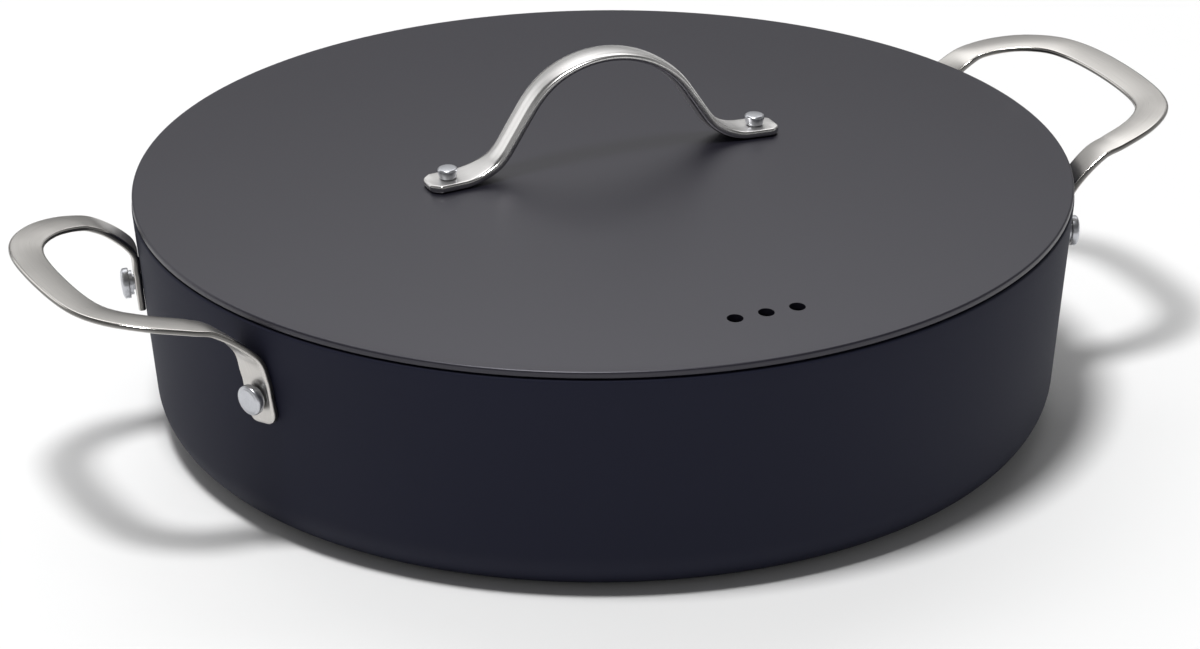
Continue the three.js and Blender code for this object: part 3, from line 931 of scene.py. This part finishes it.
def bridgeStations():
    distance = lid["rivetPitch"] / 2
    slope = math.asin(distance / sphere)
    seat = domePoint(distance, 0)
    raised = seatGap + bridge["foot"][1] / 2

    def onFoot(along):
        return (
            seat[0] + along * math.cos(slope) + raised * math.sin(slope),
            seat[2] - along * math.sin(slope) + raised * math.cos(slope),
        )

    leg, bend = bridge["legAngle"], bridge["footBend"]
    footX, footZ = onFoot(-bridge["footInner"])
    apex = onFoot(0)[1] + bridge["rise"]
    runLeft = footX - bend * (math.sin(leg) - math.sin(slope))
    riseLeft = apex - footZ - bend * (math.cos(slope) - math.cos(leg))
    crown = (runLeft * math.sin(leg) - riseLeft * math.cos(leg)) / (1 - math.cos(leg))
    bendX, bendZ = footX + bend * math.sin(slope), footZ + bend * math.cos(slope)
    tip = [onFoot(bridge["footTip"] - mark * mm) for mark in bridge["tipMarks"]]
    footArc = arc(bendX, bendZ, bend, -quarter - slope, -quarter - leg, bridge["bendSteps"])
    crownArc = arc(0, apex - crown, crown, quarter - leg, quarter, bridge["crownSteps"])
    legLine = line(footArc[-1], crownArc[0], bridge["legSteps"])
    outer = joined(tip, footArc, legLine, crownArc)

    def leftLeg(x, z):
        height = (z - footZ) / (apex - footZ)
        low, high = bridge["leftSpan"]
        shift = smoothstep(height, 0, low) * (1 - smoothstep(height, high, 1))
        return (-x + bridge["leftShift"] * shift, z)

    route = outer + [leftLeg(x, z) for x, z in reversed(outer[:-1])]
    last = len(route) - 1
    foot, legs, grip = (np.array(bridge[name]) for name in ("foot", "leg", "grip"))
    across = np.array([0.0, 1, 0])
    crownStart = len(outer) - len(crownArc)
    gripStart = len(outer) - len(crownArc) * bridge["gripFrom"]
    stations = []
    for i, (x, z) in enumerate(route):
        before, after = route[max(i - 1, 0)], route[min(i + 1, last)]
        tangent = np.array([after[0] - before[0], 0, after[1] - before[1]])
        tangent /= np.linalg.norm(tangent)
        face = np.cross(tangent, across)
        fromTip = min(math.dist((x, z), route[0]), math.dist((x, z), route[-1]))
        thin = tipInset(fromTip, bridge["edge"])
        straight = max(0.0, bridge["tipClip"] - fromTip)
        curved = tipInset(fromTip, bridge["tipClip"])
        clip = straight + (curved - straight) * bridge["clipRound"]
        index = min(i, last - i)
        rounded = smoothstep(index, len(tip), len(tip) + len(footArc) - 1)
        gripped = smoothstep(index, crownStart, gripStart)
        legSize = foot + (legs - foot) * rounded
        width, thickness, oval = legSize + (grip - legSize) * gripped
        size = (width - 2 * clip - 2 * thin, thickness - 2 * thin)
        centre = lidTurn @ np.array([x, 0, z])
        turn = (lidTurn @ across, lidTurn @ face)
        stations.append((centre, *turn, *size, oval, bridge["crown"] * rounded))
    return stations


lidBridge = sweepStrap("lidBridge", bridgeStations(), bridge, barSteel)
footThickness = bridge["foot"][1]
drill(lidBridge, lidSeats, bridgeBore, -footThickness, 3 * footThickness, barSteel)
smooth(lidBridge)
stand(lidBridge, "lid", "handle_steel", "lid_handle")
print("lid handle:", len(lidBridge.data.polygons), "faces")


def lidRivetProfile():
    inside = -lid["skin"] - seatGap
    footTop = 2 * seatGap + footThickness
    top = footTop + bridgeRivet["height"]
    shank, edge = bridgeRivet["shank"], bridgeRivet["round"]
    base = shank + bridgeRivet["shoulder"]
    head = base + bridgeRivet["flare"]
    inner = shank + bridgeRivet["innerShoulder"]
    thick, soft = bridgeRivet["innerThickness"], bridgeRivet["innerRound"]
    peak, raised = bridgeRivet["peak"]
    return joined(
        [(0, inside - thick)],
        arc(inner - soft, inside - thick + soft, soft, -quarter, 0, 4),
        [(inner, inside), (shank, inside), (shank, footTop), (base, footTop)],
        arc(head - edge, top - edge, edge, 0, quarter, 7),
        [(peak, top + raised), (0, top + raised)],
    )


lidRivets = profileObject("lidRivets", lidRivetProfile())
riveting = {"Seats": lidSeats, "Segments": bridgeRivet["segments"], "Material": rivetMetal}
bake(lidRivets, seated, riveting)
smooth(lidRivets)
stand(lidRivets, "lid", "rivet_metal", "lid_rivet_left", "lid_rivet_right")
print("lid rivets:", len(lidRivets.data.polygons), "faces")

for seats in (wallSeats, lidSeats, ventSeats):
    bpy.data.objects.remove(seats)


# studio: pale floor, a soft lamp overhead, a second at the back left and a pale panel behind
studio = {
    "floorSize": 14.0,
    "floorColour": (0.88, 0.88, 0.88),
    "floorRough": 0.9,
    "panel": (  # height of the direction, brightness
        (0.0, 0.03), (0.12, 0.06), (0.22, 0.26), (0.32, 0.66), (0.48, 0.40),
        (0.64, 1.9), (0.80, 2.6), (0.92, 0.5), (1.0, 0.1),
    ),
    "air": (
        (0.0, 0.04), (0.12, 0.12), (0.22, 0.37), (0.42, 0.39),
        (0.54, 0.16), (0.72, 0.07), (1.0, 0.07),
    ),
    "behind": (0.36, 0.933, 0.0),
    "panelEdge": (0.66, 0.90),  # cosines of the angles to both sides where it ends and is full
    "key": {"place": (-1.20, -0.62, 6.0), "size": 1.45, "power": 303.0},
    "side": {"place": (-1.15, 1.65, 0.60), "size": 1.20, "power": 4.2},
    "aim": (0, 0, 0.04),
}


def makeFloor():
    half = studio["floorSize"] / 2
    corners = [(-half, -half, 0), (half, -half, 0), (half, half, 0), (-half, half, 0)]
    mesh = bpy.data.meshes.new("studioFloor")
    mesh.from_pydata(corners, [], [(0, 1, 2, 3)])
    floor = link("studioFloor", mesh)
    material, _, shader = newMaterial("paleFloor")
    shader.inputs["Base Color"].default_value = (*studio["floorColour"], 1)
    shader.inputs["Roughness"].default_value = studio["floorRough"]
    shader.inputs["Specular IOR Level"].default_value = 0
    mesh.materials.append(material)


def makeWorld():
    world = bpy.data.worlds.new("studioAir")
    scene.world = world
    world.use_nodes = True
    tree = world.node_tree
    facing = addNode(tree, "ShaderNodeTexCoord").outputs["Generated"]
    height = addNode(tree, "ShaderNodeSeparateXYZ", {0: facing}).outputs[2]

    def levels(steps):
        ramp = addNode(tree, "ShaderNodeValToRGB", {0: height})
        stops = ramp.color_ramp.elements
        stops[0].position, stops[1].position = steps[0][0], steps[-1][0]
        for place, _ in steps[1:-1]:
            stops.new(place)
        for stop, (_, brightness) in zip(stops, steps):
            stop.color = (brightness, brightness, brightness, 1)
        return ramp.outputs[0]

    def vectors(operation, *values):
        given = dict(enumerate(values))
        return addNode(tree, "ShaderNodeVectorMath", given, operation=operation).outputs

    flat = vectors("MULTIPLY", facing, (1, 1, 0))[0]
    level = vectors("NORMALIZE", flat)[0]
    behind = vectors("DOT_PRODUCT", level, studio["behind"])["Value"]
    start, full = studio["panelEdge"]
    ends = {"Value": behind, "From Min": start, "From Max": full}
    edge = addNode(tree, "ShaderNodeMapRange", ends, interpolation_type="SMOOTHSTEP")
    share = edge.outputs["Result"]
    glow = blendColour(tree, share, levels(studio["air"]), levels(studio["panel"]))
    tree.links.new(glow, tree.nodes["Background"].inputs["Color"])


def makeLamp(name, lamp):
    data = bpy.data.lights.new(name, "AREA")
    data.shape = "DISK"
    data.size = lamp["size"]
    data.energy = lamp["power"]
    light = link(name, data)
    light.location = lamp["place"]
    heading = Vector(studio["aim"]) - light.location
    light.rotation_euler = heading.to_track_quat("-Z", "Y").to_euler()


makeFloor()
makeWorld()
makeLamp("keyLight", studio["key"])
makeLamp("sideLight", studio["side"])
print("studio lit")
